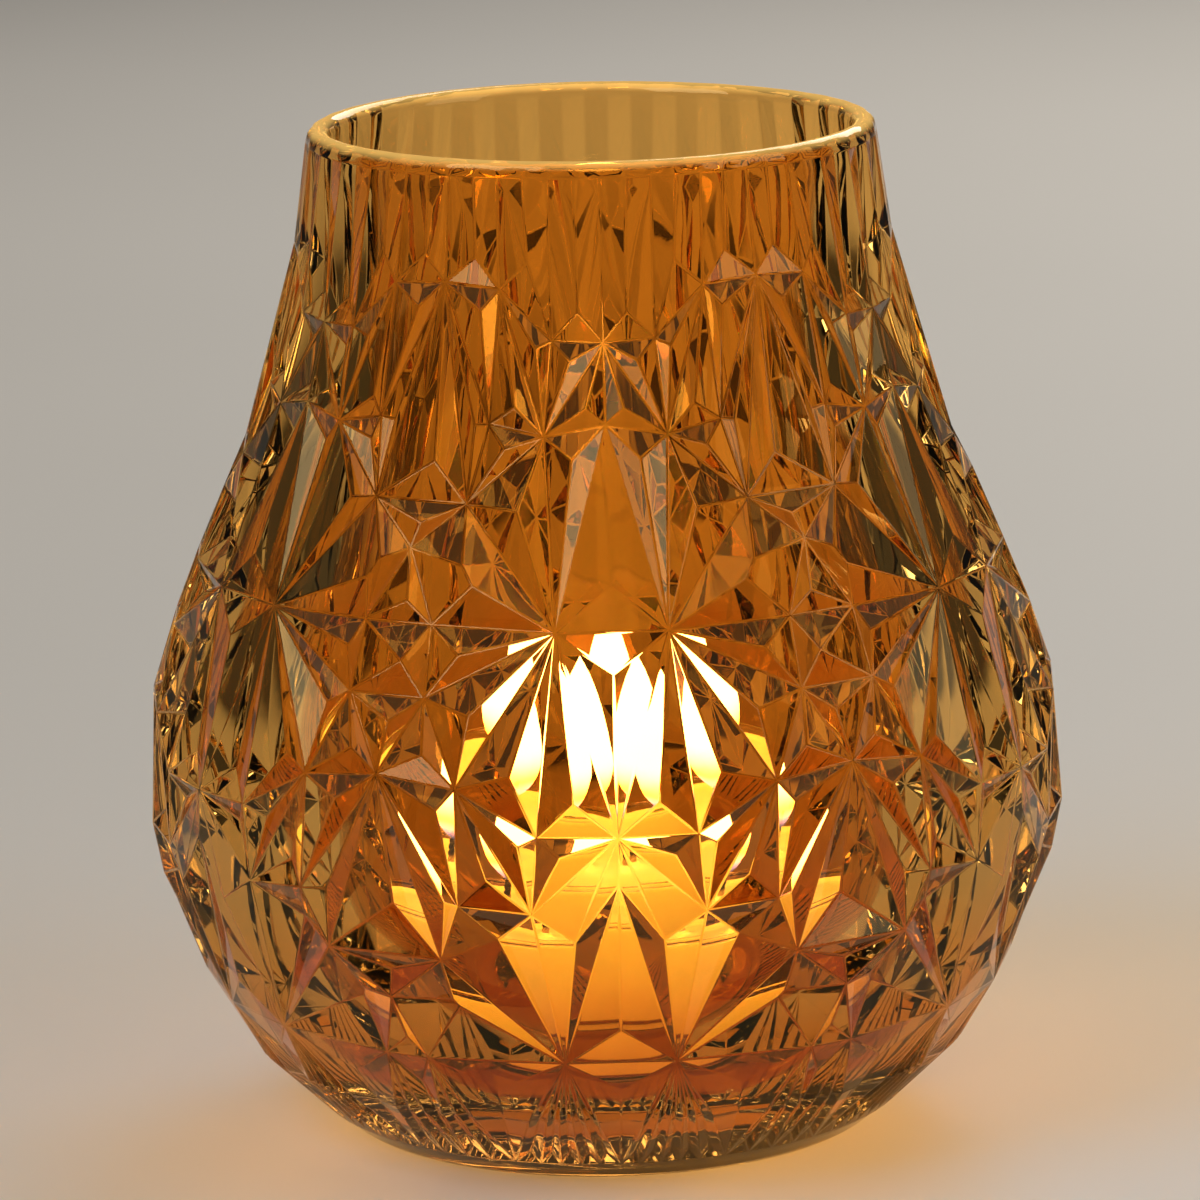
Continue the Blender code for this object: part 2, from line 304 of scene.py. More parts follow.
def new_group(
    name: str, inputs: dict[str, float], outputs: dict[str, str]
) -> tuple[Graph, dict[str, Socket], Node]:
    """Starts a shader node group.

    Args:
        name: the group's name.
        inputs: each input's name and plain value.
        outputs: each output's name and socket type.

    Returns:
        The graph to fill, its inputs by name, and its output node.
    """
    tree = bpy.data.node_groups.new(name, "ShaderNodeTree")
    for label, value in inputs.items():
        socket = tree.interface.new_socket(label, in_out="INPUT", socket_type="NodeSocketFloat")
        socket.default_value = value
    for label, kind in outputs.items():
        tree.interface.new_socket(label, in_out="OUTPUT", socket_type=kind)
    source, sink = tree.nodes.new("NodeGroupInput"), tree.nodes.new("NodeGroupOutput")
    return Graph(tree), {label: source.outputs[label] for label in inputs}, sink


@dataclass(frozen=True)
class Effects:
    """The node groups that several materials share."""

    waviness: Tree
    rise: Tree
    handling: Tree

    @classmethod
    def build(cls) -> "Effects":
        """Makes the three groups."""
        return cls(cls._waviness(), cls._rise(), cls._handling())

    @staticmethod
    def _waviness() -> Tree:
        """Surface that is wavy at a long scale and pebbled at a fine one."""
        graph, given, sink = new_group(
            "moulded_waviness",
            {"Wave Scale": 90.0, "Pebble Scale": 900.0, "Pebble Share": 0.3},
            {"Height": "NodeSocketFloat", "Blotch": "NodeSocketFloat"},
        )
        wave = graph.noise(given["Wave Scale"], 1.0)
        pebble = graph.math("MULTIPLY", graph.noise(given["Pebble Scale"], 2.0), given["Pebble Share"])
        graph.feed(sink, height=graph.math("ADD", wave, pebble), blotch=wave)
        return graph.tree

    @staticmethod
    def _rise() -> Tree:
        """0 below a low level and 1 above a high one, smooth between, with a ragged edge."""
        graph, given, sink = new_group(
            "rise_between_levels",
            {"Low": 0.0, "High": 0.1, "Ragged": 0.0, "Ragged Scale": 200.0},
            {"Share": "NodeSocketFloat"},
        )
        height = graph.add("SeparateXYZ", {0: graph.place()}).outputs["Z"]
        noise = graph.noise(given["Ragged Scale"], 3.0)
        drift = graph.math("MULTIPLY", graph.math("SUBTRACT", noise, 0.5), given["Ragged"])
        moved = graph.math("ADD", height, drift)
        share = graph.add(
            "MapRange",
            {"Value": moved, "From Min": given["Low"], "From Max": given["High"]},
            interpolation_type="SMOOTHSTEP",
        )
        graph.feed(sink, share=share.outputs["Result"])
        return graph.tree

    @staticmethod
    def _handling() -> Tree:
        """Roughness of a polished surface with faint smudges and dust."""
        graph, given, sink = new_group(
            "handling_marks",
            {"Clean": 0.02, "Smudged": 0.12, "Smudge Scale": 45.0, "Coverage": 0.45},
            {"Roughness": "NodeSocketFloat", "Smudge": "NodeSocketFloat"},
        )
        noise = graph.noise(given["Smudge Scale"], 5.0)
        top = graph.math("ADD", given["Coverage"], 0.3)
        smudge = graph.add(
            "MapRange",
            {"Value": noise, "From Min": given["Coverage"], "From Max": top},
        ).outputs["Result"]
        span = graph.math("SUBTRACT", given["Smudged"], given["Clean"])
        rough = graph.add("Math", {0: smudge, 1: span, 2: given["Clean"]}, operation="MULTIPLY_ADD")
        graph.feed(sink, roughness=rough.outputs[0], smudge=smudge)
        return graph.tree


@dataclass(frozen=True)
class Finish:
    """A material that is built from nodes."""

    name: str

    def start(self) -> tuple[bpy.types.Material, Graph, Node]:
        """Makes the material.

        Returns:
            The material, its graph and its Principled shader.
        """
        made = bpy.data.materials.new(self.name)
        made.use_nodes = True
        return made, Graph(made.node_tree), made.node_tree.nodes["Principled BSDF"]

    @staticmethod
    def group(graph: Graph, tree: Tree, **values: float) -> Node:
        """Places a node group, with its inputs named in snake case."""
        node = graph.tree.nodes.new("ShaderNodeGroup")
        node.node_tree = tree
        for label, value in values.items():
            node.inputs[socket_name(label)].default_value = value
        return node

    @staticmethod
    def bump(graph: Graph, shader: Node, height: Socket, depth: float, strength: float) -> None:
        """Feeds a height to the shader's normal; depth is in mm."""
        node = graph.add("Bump", {"Height": height, "Distance": depth * MM, "Strength": strength})
        graph.feed(shader, normal=node.outputs["Normal"])

    @staticmethod
    def let_light_out(graph: Graph, shader: Node, shade: Colour) -> None:
        """Lets the flame's light through a clear piece, tinted with a colour.

        Args:
            graph: the material's graph.
            shader: its Principled shader.
            shade: what the light is tinted with.
        """
        clear = graph.add("BsdfTransparent", {"Color": (*shade, 1.0)})
        path = graph.add("LightPath")
        ways = {0: path.outputs["Is Shadow Ray"], 1: shader.outputs[0], 2: clear.outputs[0]}
        mixed = graph.add("MixShader", ways)
        graph.feed(graph.tree.nodes["Material Output"], surface=mixed.outputs[0])


@dataclass(frozen=True)
class AmberGlass(Finish):
    """Pressed glass that is honey coloured, deeper where it is thick, and lets light through."""

    name: str = "pressed_glass"
    thin: Colour = (0.95, 0.50, 0.11)
    thick: Colour = (0.62, 0.25, 0.04)
    glint: Colour = (1.0, 0.78, 0.38)
    shade: Colour = (0.90, 0.80, 0.55)
    painted_lip_glow: Colour = (1.0, 0.58, 0.14)  # painted glow on the lip, standing in for light that the wall pipes up from the flame
    # strength of the painted glow on the lip
    painted_lip_glow_strength: float = 0.7

    def material(self, effects: Effects) -> bpy.types.Material:
        """Builds the glass.

        Args:
            effects: the shared node groups.

        Returns:
            The material.
        """
        made, graph, shader = self.start()
        shader.inputs["Transmission Weight"].default_value = 1.0
        shader.inputs["IOR"].default_value = 1.5
        shader.inputs["Specular Tint"].default_value = (*self.glint, 1.0)
        wave = self.group(graph, effects.waviness, wave_scale=70.0, pebble_scale=650.0, pebble_share=0.02)
        rise = self.group(graph, effects.rise, low=0.002, high=0.075, ragged=0.02, ragged_scale=60.0)
        marks = self.group(
            graph, effects.handling, clean=0.012, smudged=0.06, smudge_scale=35.0, coverage=0.5
        )
        tint = graph.mix(rise.outputs["Share"], self.thick, self.thin)
        graph.feed(shader, base_color=tint, roughness=marks.outputs["Roughness"])
        self.bump(graph, shader, wave.outputs["Height"], depth=0.5, strength=0.25)
        # Painted glow: the top of the lip emits a gold light of its own, in place of flame light caught by
        # the rim.
        edge = self.group(graph, effects.rise, low=0.1416, high=0.1429, ragged=0.0006, ragged_scale=90.0)
        glow = graph.mix(edge.outputs["Share"], BLACK, self.painted_lip_glow)
        graph.feed(shader, emission_color=glow)
        shader.inputs["Emission Strength"].default_value = self.painted_lip_glow_strength
        self.let_light_out(graph, shader, self.shade)
        return made


@dataclass(frozen=True)
class ClearCup(Finish):
    """Clear thin plastic with mould haze."""

    name: str = "clear_cup"
    tint: Colour = (0.97, 0.95, 0.90)
    haze: Colour = (0.90, 0.86, 0.78)

    def material(self, effects: Effects) -> bpy.types.Material:
        """Builds the plastic.

        Args:
            effects: the shared node groups.

        Returns:
            The material.
        """
        made, graph, shader = self.start()
        shader.inputs["Transmission Weight"].default_value = 1.0
        shader.inputs["IOR"].default_value = 1.45
        wave = self.group(graph, effects.waviness, wave_scale=220.0, pebble_scale=1500.0, pebble_share=0.2)
        marks = self.group(
            graph, effects.handling, clean=0.04, smudged=0.16, smudge_scale=120.0, coverage=0.45
        )
        tint = graph.mix(marks.outputs["Smudge"], self.tint, self.haze)
        graph.feed(shader, base_color=tint, roughness=marks.outputs["Roughness"])
        self.bump(graph, shader, wave.outputs["Height"], depth=0.1, strength=0.3)
        self.let_light_out(graph, shader, self.tint)
        return made


@dataclass(frozen=True)
class GlowingWax(Finish):
    """Paraffin wax with a painted glow in place of its flame's light: bright at the pool and deep orange at
    the foot.
    """

    name: str = "paraffin_wax"
    body: Colour = (0.95, 0.84, 0.62)
    cloudy: Colour = (0.90, 0.76, 0.52)
    # colours of the painted glow, at the top of the wax and at its foot
    painted_top_glow: Colour = (1.0, 0.92, 0.22)
    painted_foot_glow: Colour = (0.84, 0.46, 0.12)
    foot: float = 0.012
    top: float = 0.034

    def material(self, effects: Effects) -> bpy.types.Material:
        """Builds the wax.

        Args:
            effects: the shared node groups.

        Returns:
            The material.
        """
        made, graph, shader = self.start()
        shader.inputs["Subsurface Weight"].default_value = 0.6
        shader.inputs["Subsurface Radius"].default_value = (1.0, 0.45, 0.18)
        shader.inputs["Subsurface Scale"].default_value = 0.006
        shader.inputs["IOR"].default_value = 1.44
        shader.inputs["Coat Roughness"].default_value = 0.03
        shader.inputs["Emission Strength"].default_value = 1.0
        wave = self.group(graph, effects.waviness, wave_scale=260.0, pebble_scale=1400.0, pebble_share=0.25)
        rise = self.group(graph, effects.rise, low=self.foot, high=self.top, ragged=0.006, ragged_scale=120.0)
        pool = self.group(graph, effects.rise, low=self.top - 0.0016, high=self.top - 0.001, ragged=0.0)
        marks = self.group(
            graph, effects.handling, clean=0.34, smudged=0.55, smudge_scale=160.0, coverage=0.4
        )
        wet = graph.math("SUBTRACT", 1.0, pool.outputs["Share"])
        base = graph.mix(wave.outputs["Blotch"], self.body, self.cloudy)
        # Painted glow: the wax emits light, deep orange at the foot and bright yellow at the top, standing in
        # for the flame's light spread through it.
        glow = graph.mix(rise.outputs["Share"], self.painted_foot_glow, self.painted_top_glow)
        graph.feed(shader, base_color=base, roughness=marks.outputs["Roughness"])
        graph.feed(shader, coat_weight=wet, emission_color=glow)
        self.bump(graph, shader, wave.outputs["Height"], depth=0.15, strength=0.3)
        return made


@dataclass(frozen=True)
class CharredWick(Finish):
    """Cotton that is waxed cream at its foot, charred above, and glows at its tip."""

    name: str = "charred_cotton"
    cotton: Colour = (0.62, 0.50, 0.34)
    char: Colour = (0.018, 0.015, 0.013)
    ember: Colour = (1.0, 0.22, 0.03)

    def material(self, effects: Effects) -> bpy.types.Material:
        """Builds the cotton.

        Args:
            effects: the shared node groups.

        Returns:
            The material.
        """
        made, graph, shader = self.start()
        shader.inputs["Emission Strength"].default_value = 3.0
        burnt = self.group(graph, effects.rise, low=0.0335, high=0.0355, ragged=0.002, ragged_scale=900.0)
        hot = self.group(graph, effects.rise, low=0.0395, high=0.0412, ragged=0.001, ragged_scale=1400.0)
        wave = self.group(graph, effects.waviness, wave_scale=1200.0, pebble_scale=5200.0, pebble_share=0.8)
        marks = self.group(
            graph, effects.handling, clean=0.75, smudged=0.98, smudge_scale=900.0, coverage=0.4
        )
        base = graph.mix(burnt.outputs["Share"], self.cotton, self.char)
        glow = graph.mix(hot.outputs["Share"], BLACK, self.ember)
        graph.feed(shader, base_color=base, roughness=marks.outputs["Roughness"], emission_color=glow)
        self.bump(graph, shader, wave.outputs["Height"], depth=0.2, strength=0.8)
        return made


@dataclass(frozen=True)
class TinnedSteel(Finish):
    """Thin stamped steel with a tin skin that has dulled in patches."""

    name: str = "tinned_steel"
    bright: Colour = (0.72, 0.71, 0.68)
    dull: Colour = (0.42, 0.40, 0.37)

    def material(self, effects: Effects) -> bpy.types.Material:
        """Builds the steel.

        Args:
            effects: the shared node groups.

        Returns:
            The material.
        """
        made, graph, shader = self.start()
        shader.inputs["Metallic"].default_value = 1.0
        wave = self.group(graph, effects.waviness, wave_scale=500.0, pebble_scale=4000.0, pebble_share=0.4)
        marks = self.group(
            graph, effects.handling, clean=0.25, smudged=0.5, smudge_scale=400.0, coverage=0.4
        )
        base = graph.mix(marks.outputs["Smudge"], self.bright, self.dull)
        graph.feed(shader, base_color=base, roughness=marks.outputs["Roughness"])
        self.bump(graph, shader, wave.outputs["Height"], depth=0.05, strength=0.5)
        return made


@dataclass(frozen=True)
class FlameLight(Finish):
    """Glowing gas: blue and thin round the wick, then orange, then almost white."""

    name: str = "flame"
    base: Colour = (0.10, 0.16, 0.9)
    mantle: Colour = (1.0, 0.36, 0.06)
    heart: Colour = (1.0, 0.85, 0.60)
    strength: float = 16.0

    def material(self, effects: Effects) -> bpy.types.Material:
        """Builds the flame.

        Args:
            effects: the shared node groups.

        Returns:
            The material.
        """
        made, graph, shader = self.start()
        shader.inputs["Base Color"].default_value = (0.0, 0.0, 0.0, 1.0)
        shader.inputs["Roughness"].default_value = 1.0
        shader.inputs["Specular IOR Level"].default_value = 0.0
        shader.inputs["Emission Strength"].default_value = self.strength
        low = self.group(graph, effects.rise, low=0.0385, high=0.0430, ragged=0.001, ragged_scale=300.0)
        high = self.group(graph, effects.rise, low=0.0420, high=0.0500, ragged=0.001, ragged_scale=300.0)
        solid = self.group(graph, effects.rise, low=0.0375, high=0.0450, ragged=0.001, ragged_scale=300.0)
        warm = graph.mix(low.outputs["Share"], self.base, self.mantle)
        glow = graph.mix(high.outputs["Share"], warm, self.heart)
        graph.feed(shader, emission_color=glow, alpha=solid.outputs["Share"])
        return made


@dataclass(frozen=True)
class PaleFloor(Finish):
    """Matt pale board."""

    name: str = "studio_floor"
    light: Colour = (0.80, 0.78, 0.75)
    dark: Colour = (0.76, 0.74, 0.71)

    def material(self, effects: Effects) -> bpy.types.Material:
        """Builds the board.

        Args:
            effects: the shared node groups.

        Returns:
            The material.
        """
        made, graph, shader = self.start()
        wave = self.group(graph, effects.waviness, wave_scale=4.0, pebble_scale=900.0, pebble_share=0.2)
        base = graph.mix(wave.outputs["Blotch"], self.light, self.dark)
        graph.feed(shader, base_color=base)
        shader.inputs["Roughness"].default_value = 0.55
        return made


# ---- pieces ------------------------------------------------------------------------------------

Spot = tuple[float, float]  # (angle, height) of a node


@dataclass
class StarCutVase:
    """Pressed-glass vase: ridges between nodes outside, a smooth plunger-formed wall inside."""

    repeats: int = 6
    half_repeat: float = 30.0
    hollow: float = 0.46  # fall of a field's faces over their run
    shallow: float = 0.27  # the same beside the raised fields
    raised: float = -0.2  # fields on the front plane of a repeat rise instead
    proud: float = 0.6  # how far a raised field may stand over the belly curve
    one_pit: float = 1.1  # a valley shorter than this is drawn as one point
    thinnest: float = 2.3  # least glass left under a field
    soft_edge: float = 0.28  # width of the rounded border of a facet
    soft_share: float = 0.42  # most of it in a small facet, over area / outline
    least_edge: float = 0.02  # a shorter side of a facet is left out
    least_spread: float = 0.02  # a facet with a sharper corner gets no border
    sides: int = 216
    inner_rings: int = 64
    ring_crowding: float = 1.25  # over 1 draws the inner rings together towards the floor
    envelope: Curve = (
        (0.0, 38.5), (5.0, 44.9), (11.0, 50.8), (16.0, 54.6), (22.0, 58.1), (33.0, 62.6), (44.0, 65.4),
        (50.0, 66.0), (56.0, 65.7), (66.0, 63.5), (77.0, 59.7), (88.0, 55.0), (99.0, 50.2),
        (110.0, 46.1), (121.0, 43.25), (132.0, 41.3), (143.0, 39.9),
    )
    valley_depth: Curve = ((0.0, 0.9), (12.0, 1.1), (22.0, 1.2), (119.0, 1.5), (127.0, 1.2), (140.9, 0.3))
    inside: Curve = (
        (10.0, 33.5), (10.5, 36.6), (12.4, 40.4), (16.0, 44.6), (22.0, 48.9), (30.0, 52.9), (40.0, 56.0),
        (50.0, 57.2), (60.0, 56.6), (70.0, 54.2), (81.0, 50.6), (93.0, 46.2), (105.0, 42.2),
        (117.0, 39.2), (129.0, 37.5), (141.2, 36.75),
    )
    lip: Curve = (
        (141.6, 39.98), (142.2, 39.82), (142.65, 39.45), (142.92, 38.95), (143.0, 38.4),
        (142.9, 37.85), (142.6, 37.35), (142.0, 36.95),
    )
    foot: Curve = ((1.5, 29.8), (0.0, 31.0), (0.0, 38.5), (0.6, 39.3), (1.7, 40.35))
    floor: Curve = ((10.0, 30.0), (10.0, 12.0))
    scallop: Curve = ((141.0, 0.34), (142.2, 0.22), (143.0, 0.06))
    lip_crest: float = 38.4  # radius that parts the outside of the lip from its inside
    inner_dip: float = -0.3  # of the flutes' dip, on the inside of the lip
    lip_sag: float = 0.06  # slow rise and fall of the lip's top
    dip_sag: float = 0.3  # of the flutes' dip, down from the lip's top
    sag_above: float = 142.0
    uneven: Sequence[tuple[float, int, float, float]] = (
        # size, waves round the wall, phase, drift of the phase per mm of height
        (0.10, 6, 2.0, 0.05), (0.05, 14, 1.1, -0.09), (0.05, 3, 0.0, 0.21),
    )
    even_floor: tuple[float, float] = (12.0, 10.0)  # height where it starts, and how slowly
    even_lip: tuple[float, float] = (141.0, 8.0)  # height where it ends, and how slowly
    nodes: dict[str, Spot] = field(
        default_factory=lambda: {
            "petal_middle": (7.5, 22.3), "petal_side": (26.8, 22.0),
            "low_star": (30.0, 31.3), "low_side": (22.1, 37.8), "low_inner": (10.35, 45.2),
            "low_outer": (19.2, 46.0),
            "notch": (0.0, 49.3), "middle": (0.0, 55.8), "middle_inner": (9.5, 55.9),
            "middle_outer": (19.6, 61.9),
            "middle_star": (30.0, 63.1),
            "high_side": (24.6, 73.3), "high_star": (7.6, 82.1), "high_band": (24.9, 82.6),
            "shoulder_star": (30.0, 92.0), "shoulder_side": (22.0, 98.0),
            "neck_middle": (0.0, 108.3), "neck_inner": (10.2, 106.8), "neck_outer": (19.6, 108.3),
            "flute_0": (0.0, 119.0), "flute_1": (9.2, 119.3), "flute_2": (19.0, 126.0),
            "flute_3": (30.0, 126.6),
            "lip_0": (0.0, 140.9), "lip_1": (10.0, 140.9), "lip_2": (20.0, 140.9), "lip_3": (30.0, 140.9),
        }
    )
    fields: Sequence[str] = (
        "petal_middle petal_side low_star low_side", "petal_side >petal_side low_star",
        "low_star >low_side low_side", "petal_middle low_side low_outer low_inner",
        "low_side middle_star low_outer", "low_side >low_side middle_star",
        "<petal_middle petal_middle notch", "petal_middle low_inner middle notch",
        "middle low_inner middle_inner", "middle_inner low_inner middle_outer",
        "low_inner low_outer middle_outer", "low_outer middle_star middle_outer",
        "<high_star middle high_star", "middle middle_inner high_star",
        "middle_inner middle_outer high_star", "middle_outer high_side high_star",
        "middle_outer middle_star high_side", "middle_star >high_side high_side",
        "high_side >high_side >high_band high_band", "high_star high_side high_band",
        "high_band >high_band shoulder_star", "high_star high_band shoulder_star shoulder_side",
        "high_star shoulder_side neck_inner", "high_star neck_inner neck_middle",
        "<high_star high_star neck_middle", "shoulder_side shoulder_star >shoulder_side",
        "shoulder_side >shoulder_side flute_3", "shoulder_side flute_3 neck_outer",
        "neck_inner shoulder_side neck_outer", "neck_inner neck_outer flute_2",
        "neck_outer flute_3 flute_2", "neck_inner flute_2 flute_1", "neck_inner flute_1 flute_0",
        "neck_inner flute_0 neck_middle",
    )
    raised_fields: Sequence[str] = (
        "<petal_middle petal_middle notch", "<high_star middle high_star", "<high_star high_star neck_middle",
    )
    shallow_fields: Sequence[str] = ("middle middle_inner high_star",)
    star_field: str = "petal_middle low_inner middle notch"
    star_peak: Spot = (5.2, 41.6)
    star_proud: float = 1.0  # of that peak over the belly curve
    flutes: Sequence[str] = (
        "flute_0 flute_1 lip_1 lip_0", "flute_1 flute_2 lip_2 lip_1", "flute_2 flute_3 lip_3 lip_2",
    )
    flute_point: float = 3.4  # how far over its higher foot node a flute reaches its full height
    petals: Sequence[tuple[str, float, float]] = (
        ("<petal_middle petal_middle", 0.0, 0.0), ("petal_middle petal_middle", 0.0, 3.75),
        ("petal_middle petal_middle", 3.75, 7.5), ("petal_middle petal_middle", 7.5, 11.25),
        ("petal_middle petal_middle", 11.25, 15.0), ("petal_middle petal_middle", 15.0, 20.0),
        ("petal_middle petal_side", 20.0, 20.0), ("petal_side petal_side", 20.0, 25.0),
        ("petal_side petal_side", 25.0, 30.0), ("petal_side >petal_side", 30.0, 30.0),
    )
    petal_head: float = 17.3
    petal_knee: float = 12.0
    petal_toe: float = 5.4
    petal_foot: float = 3.0

    def node_point(self, spot: Spot) -> Vector:
        """Where ridges meet, on the smooth belly curve."""
        return polar(spot[0], between(self.envelope, spot[1]), spot[1])

    def valley(self, angle: float, height: float) -> Vector:
        """Point at the bottom of a petal or a flute."""
        radius = between(self.envelope, height) - between(self.valley_depth, height)
        return polar(angle, radius, height)

    def spot(self, word: str, repeat: int, mirrored: bool) -> Spot:
        """Where a named node lies in one repeat.

        Args:
            word: the node's name, after "<" or ">" if it is mirrored there.
            repeat: number of the repeat.
            mirrored: whether the whole half repeat is mirrored.

        Returns:
            Its angle and height.
        """
        angle, height = self.nodes[word.lstrip("<>")]
        if word[0] == Mirror.START.value:
            angle = -angle
        if word[0] == Mirror.END.value:
            angle = 2 * self.half_repeat - angle
        return self.turn(angle, repeat, mirrored), height

    def turn(self, angle: float, repeat: int, mirrored: bool) -> float:
        """Angle round the whole vase of an angle in one repeat."""
        return repeat * 2 * self.half_repeat + (-angle if mirrored else angle)

    def facet(self, sketch: Sketch, corners: Sequence[Vector]) -> None:
        """Adds one flat face of the cut, with a border that shades into its neighbours.

        Args:
            sketch: the mesh that it is added to.
            corners: its corners, anticlockwise from outside.
        """
        kept = [c for i, c in enumerate(corners) if (c - corners[i - 1]).length > self.least_edge * MM]
        count = len(kept)
        if count < 3:
            return
        area = sum((a.cross(b) for a, b in neighbours(kept)), Vector()).length
        around = sum((a - b).length for a, b in neighbours(kept))
        width = min(self.soft_edge * MM, self.soft_share * area / around)
        inner = []
        for i, corner in enumerate(kept):
            back = (kept[i - 1] - corner).normalized()
            ahead = (kept[(i + 1) % count] - corner).normalized()
            spread = back.cross(ahead).length
            if spread < self.least_spread:
                inner = []
                break
            inner.append(sketch.vertex(corner + (back + ahead) * (width / spread)))
        outer = [sketch.vertex(corner) for corner in kept]
        if not inner:
            sketch.face(*outer)
            return
        sketch.face(*inner)
        for i in range(count):
            after = (i + 1) % count
            sketch.face(outer[i], outer[after], inner[after], inner[i])

    @staticmethod
    def bisector_meet(corners: Sequence[Vector], first: int) -> tuple[Vector, float]:
        """Where the bisectors of two neighbouring corners of a flat outline meet.

        Args:
            corners: the outline's corners, in its own plane.
            first: number of the first of the two.

        Returns:
            The place, and its distance from the side between them.
        """
        count = len(corners)
        a, b = corners[first], corners[(first + 1) % count]
        before, after = corners[first - 1], corners[(first + 2) % count]
        along = (b - a).normalized()
        turn_a = ((before - a).normalized() + along).normalized()
        turn_b = ((after - b).normalized() - along).normalized()
        inward = along.orthogonal()
        if inward.dot(after - b) < 0:
            inward = -inward
        run = turn_a.dot(along) / turn_a.dot(inward) - turn_b.dot(along) / turn_b.dot(inward)
        height = (b - a).length / run
        return a + turn_a * (height / turn_a.dot(inward)), height

    def slope_of(self, text: str) -> float:
        """Fall of the faces of a field, which is below 0 where it is raised."""
        if text in self.raised_fields:
            return self.raised
        return self.shallow if text in self.shallow_fields else self.hollow

    def cover(self, sketch: Sketch, corners: list[Vector], slope: float) -> None:
        """Covers one field with faces of equal slope that fall to a point or a short valley.

        Args:
            sketch: the mesh that it is added to.
            corners: the field's nodes, in order.
            slope: fall of the faces over their run.
        """
        middle = sum(corners, Vector()) / len(corners)
        normal = sum((a.cross(b) for a, b in neighbours(corners)), Vector()).normalized()
        if normal.dot(Vector((middle.x, middle.y, 0.0))) < 0:
            corners, normal = corners[::-1], -normal
        across = (corners[1] - corners[0]).normalized()
        up = normal.cross(across)
        flat = [Vector(((c - middle).dot(across), (c - middle).dot(up))) for c in corners]
        meets = [self.bisector_meet(flat, i) for i in range(len(flat))]
        points = [
            self.kept_out(middle + across * at.x + up * at.y - normal * (inset * slope))
            for at, inset in meets
        ]
        if len(corners) == 3:
            for i in range(3):
                self.facet(sketch, [corners[i], corners[(i + 1) % 3], points[0]])
            return
        first = 0 if min(meets[0][1], meets[2][1]) <= min(meets[1][1], meets[3][1]) else 1
        low, high = points[first], points[first + 2]
        if (low - high).length < self.one_pit * MM:
            low = high = (low + high) / 2
        edge = corners[first:] + corners[:first]
        self.facet(sketch, [edge[0], edge[1], low])
        self.facet(sketch, [edge[1], edge[2], high, low])
        self.facet(sketch, [edge[2], edge[3], high])
        self.facet(sketch, [edge[3], edge[0], low, high])

    def cover_star(self, sketch: Sketch, spots: list[Spot], angle: float) -> None:
        """Covers the field under the middle star, which rises to a peak off its middle.

        Args:
            sketch: the mesh that it is added to.
            spots: its nodes, in order.
            angle: angle of its peak.
        """
        corners = [self.node_point(spot) for spot in spots]
        if spots[0][0] < angle:
            corners.reverse()
        height = self.star_peak[1]
        peak = polar(angle, between(self.envelope, height) + self.star_proud, height)
        for i, corner in enumerate(corners):
            self.facet(sketch, [corners[i - 1], corner, peak])

    def kept_out(self, pit: Vector) -> Vector:
        """The middle of a field, moved where it leaves too little glass or stands too far out."""
        least = (between(self.inside, pit.z / MM) + self.thinnest) * MM
        most = (between(self.envelope, pit.z / MM) + self.proud) * MM
        radius = math.hypot(pit.x, pit.y)
        scale = min(max(radius, least), most) / radius
        return Vector((pit.x * scale, pit.y * scale, pit.z))

    def flute(self, sketch: Sketch, spots: list[Spot]) -> list[Spot]:
        """Adds one flute of the neck, a valley from a point at its foot out to the lip.

        Args:
            sketch: the mesh that it is added to.
            spots: its nodes: two at the foot and, the other way round, two at the lip.

        Returns:
            (angle, vertex) pairs of its top edge.
        """
        if spots[0][0] > spots[1][0]:
            spots = [spots[1], spots[0], spots[3], spots[2]]
        left, right, high_right, high_left = (self.node_point(spot) for spot in spots)
        start = max(spots[0][1], spots[1][1]) + self.flute_point
        end = spots[2][1]
        foot = self.valley((spots[0][0] + spots[1][0]) / 2, start)
        middle = (spots[2][0] + spots[3][0]) / 2
        top = self.valley(middle, end)
        self.facet(sketch, (left, right, foot))
        self.facet(sketch, (right, high_right, top, foot))
        self.facet(sketch, (high_left, left, foot, top))
        edge = ((spots[3][0], high_left), (middle, top), (spots[2][0], high_right))
        return [(angle, sketch.vertex(point)) for angle, point in edge]

    def petal(self, sketch: Sketch, tips: list[Spot], ends: list[float]) -> None:
        """Adds one hollow petal between two ridges that bend with the foot of the belly.

        Args:
            sketch: the mesh that it is added to.
            tips: the nodes that it hangs from, left and right.
            ends: the angles where its ridges end at the foot, left and right.
        """

        def angle_at(side: int, height: float) -> float:
            """Angle of one ridge at a height."""
            tip_angle, tip_height = tips[side]
            share = (tip_height - height) / (tip_height - self.petal_foot)
            return tip_angle + (ends[side] - tip_angle) * share

        def hollow(height: float) -> Vector:
            """Point in the middle of the petal at a height."""
            return self.valley((angle_at(0, height) + angle_at(1, height)) / 2, height)

        corners = [self.node_point(tip) for tip in tips]
        knees = [self.node_point((angle_at(side, self.petal_knee), self.petal_knee)) for side in (0, 1)]
        feet = [self.node_point((end, self.petal_foot)) for end in ends]
        head = corners[0] if tips[0] == tips[1] else hollow(self.petal_head)
        toe = feet[0] if ends[0] == ends[1] else hollow(self.petal_toe)
        back = hollow(self.petal_knee)
        for face in (
            (corners[1], corners[0], head),
            (feet[0], feet[1], toe),
            (corners[0], knees[0], back, head),
            (knees[0], feet[0], toe, back),
            (knees[1], corners[1], head, back),
            (feet[1], knees[1], back, toe),
        ):
            self.facet(sketch, face)

